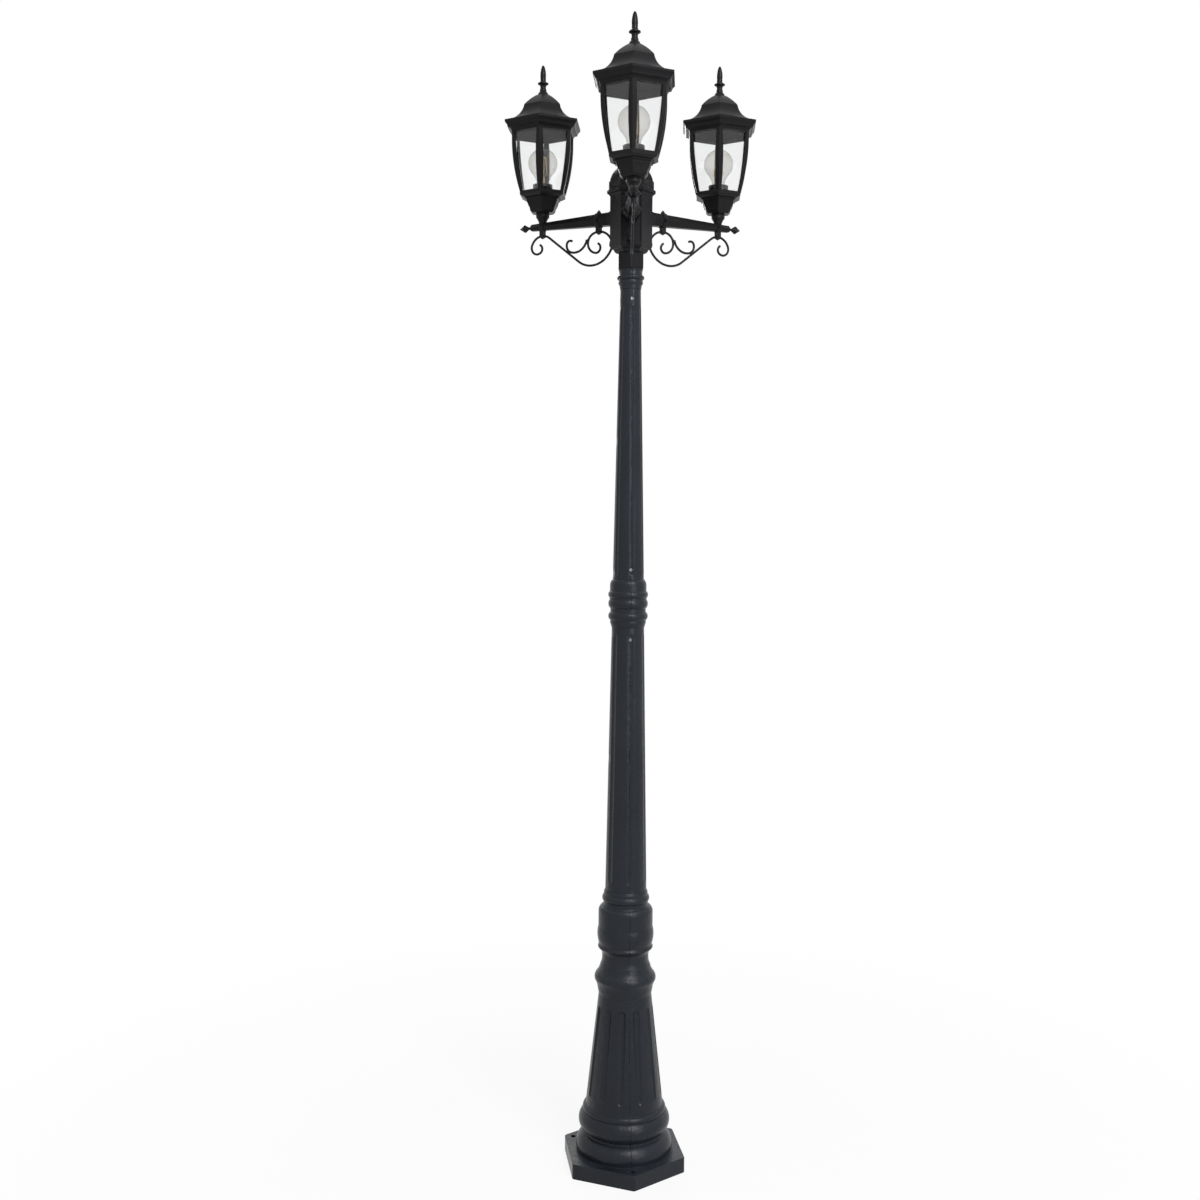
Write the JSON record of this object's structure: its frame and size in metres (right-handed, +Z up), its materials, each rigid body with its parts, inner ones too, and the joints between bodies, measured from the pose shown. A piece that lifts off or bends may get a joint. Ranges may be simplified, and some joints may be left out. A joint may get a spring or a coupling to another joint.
{
  "type": "triple head garden lamp post",
  "caption": "Tall outdoor post with a fluted bell base and three scrolled arms that each carry a six-sided glazed lantern with a bulb.",
  "frame": {"origin": "centre of the anchor hole circle on the underside of the foot, where the post meets the ground", "axes": "+Z up along the pole, -Y along the front arm, the other two arms a third of a turn each way"},
  "size_m": [0.5002, 0.47, 2.2001],
  "materials": {
    "black_post": "fine textured black powder coat on cast aluminium",
    "black_lantern": "satin black powder coat on cast aluminium",
    "bare_aluminium": "plain, hidden inside",
    "screw_steel": "dark oxide",
    "pane_glass": "clear",
    "holder_plastic": "satin black",
    "bulb_glass": "clear, slightly smoked",
    "bulb_cap_metal": "plated screw cap",
    "filament": "amber coated filament sticks"
  },
  "bodies": {
    "post": {"pedestal": "black_post", "vase": "black_post", "foot_collar": "black_post", "lower_pole": "black_post", "coupling_spigot": "bare_aluminium", "pole_coupling": "black_post", "upper_pole": "black_post", "neck_collar": "black_post", "arm_hub": "black_post", "hub_cap": "black_post", "set_screws": "screw_steel", "scroll_clips": "black_post", "front_arm": "black_lantern", "front_arm_tip": "black_lantern", "front_scroll_bracket": "black_lantern", "front_scroll_clamp": "black_lantern", "front_lantern_saddle": "black_lantern", "front_lantern_nipple": "bare_aluminium", "front_cup": "black_lantern", "front_cage": "black_lantern", "front_glass_panes": "pane_glass", "front_lamp_holder": "holder_plastic", "left_arm": "black_lantern", "left_arm_tip": "black_lantern", "left_scroll_bracket": "black_lantern", "left_scroll_clamp": "black_lantern", "left_lantern_saddle": "black_lantern", "left_lantern_nipple": "bare_aluminium", "left_cup": "black_lantern", "left_cage": "black_lantern", "left_glass_panes": "pane_glass", "left_lamp_holder": "holder_plastic", "right_arm": "black_lantern", "right_arm_tip": "black_lantern", "right_scroll_bracket": "black_lantern", "right_scroll_clamp": "black_lantern", "right_lantern_saddle": "black_lantern", "right_lantern_nipple": "bare_aluminium", "right_cup": "black_lantern", "right_cage": "black_lantern", "right_glass_panes": "pane_glass", "right_lamp_holder": "holder_plastic"},
    "front_lid": {"front_roof": "black_lantern", "front_finial": "black_lantern"},
    "front_bulb": {"front_bulb_glass": "bulb_glass", "front_bulb_cap": "bulb_cap_metal", "front_bulb_filament": "filament"},
    "left_lid": {"left_roof": "black_lantern", "left_finial": "black_lantern"},
    "left_bulb": {"left_bulb_glass": "bulb_glass", "left_bulb_cap": "bulb_cap_metal", "left_bulb_filament": "filament"},
    "right_lid": {"right_roof": "black_lantern", "right_finial": "black_lantern"},
    "right_bulb": {"right_bulb_glass": "bulb_glass", "right_bulb_cap": "bulb_cap_metal", "right_bulb_filament": "filament"}
  },
  "joints": [
    {"name": "front_roof_lift", "type": "slide", "parent": "post", "child": "front_lid", "axis": [0, 0, 1], "range_m": [0, 0.16]},
    {"name": "front_bulb_turn", "type": "hinge", "parent": "post", "child": "front_bulb", "pos_m": [0, -0.2033, 2], "axis": [0, 0, 1], "range_deg": [0, 1260]},
    {"name": "left_roof_lift", "type": "slide", "parent": "post", "child": "left_lid", "axis": [0, 0, 1], "range_m": [0, 0.16]},
    {"name": "left_bulb_turn", "type": "hinge", "parent": "post", "child": "left_bulb", "pos_m": [-0.17606, 0.10165, 2], "axis": [0, 0, 1], "range_deg": [0, 1260]},
    {"name": "right_roof_lift", "type": "slide", "parent": "post", "child": "right_lid", "axis": [0, 0, 1], "range_m": [0, 0.16]},
    {"name": "right_bulb_turn", "type": "hinge", "parent": "post", "child": "right_bulb", "pos_m": [0.17606, 0.10165, 2], "axis": [0, 0, 1], "range_deg": [0, 1260]}
  ]
}
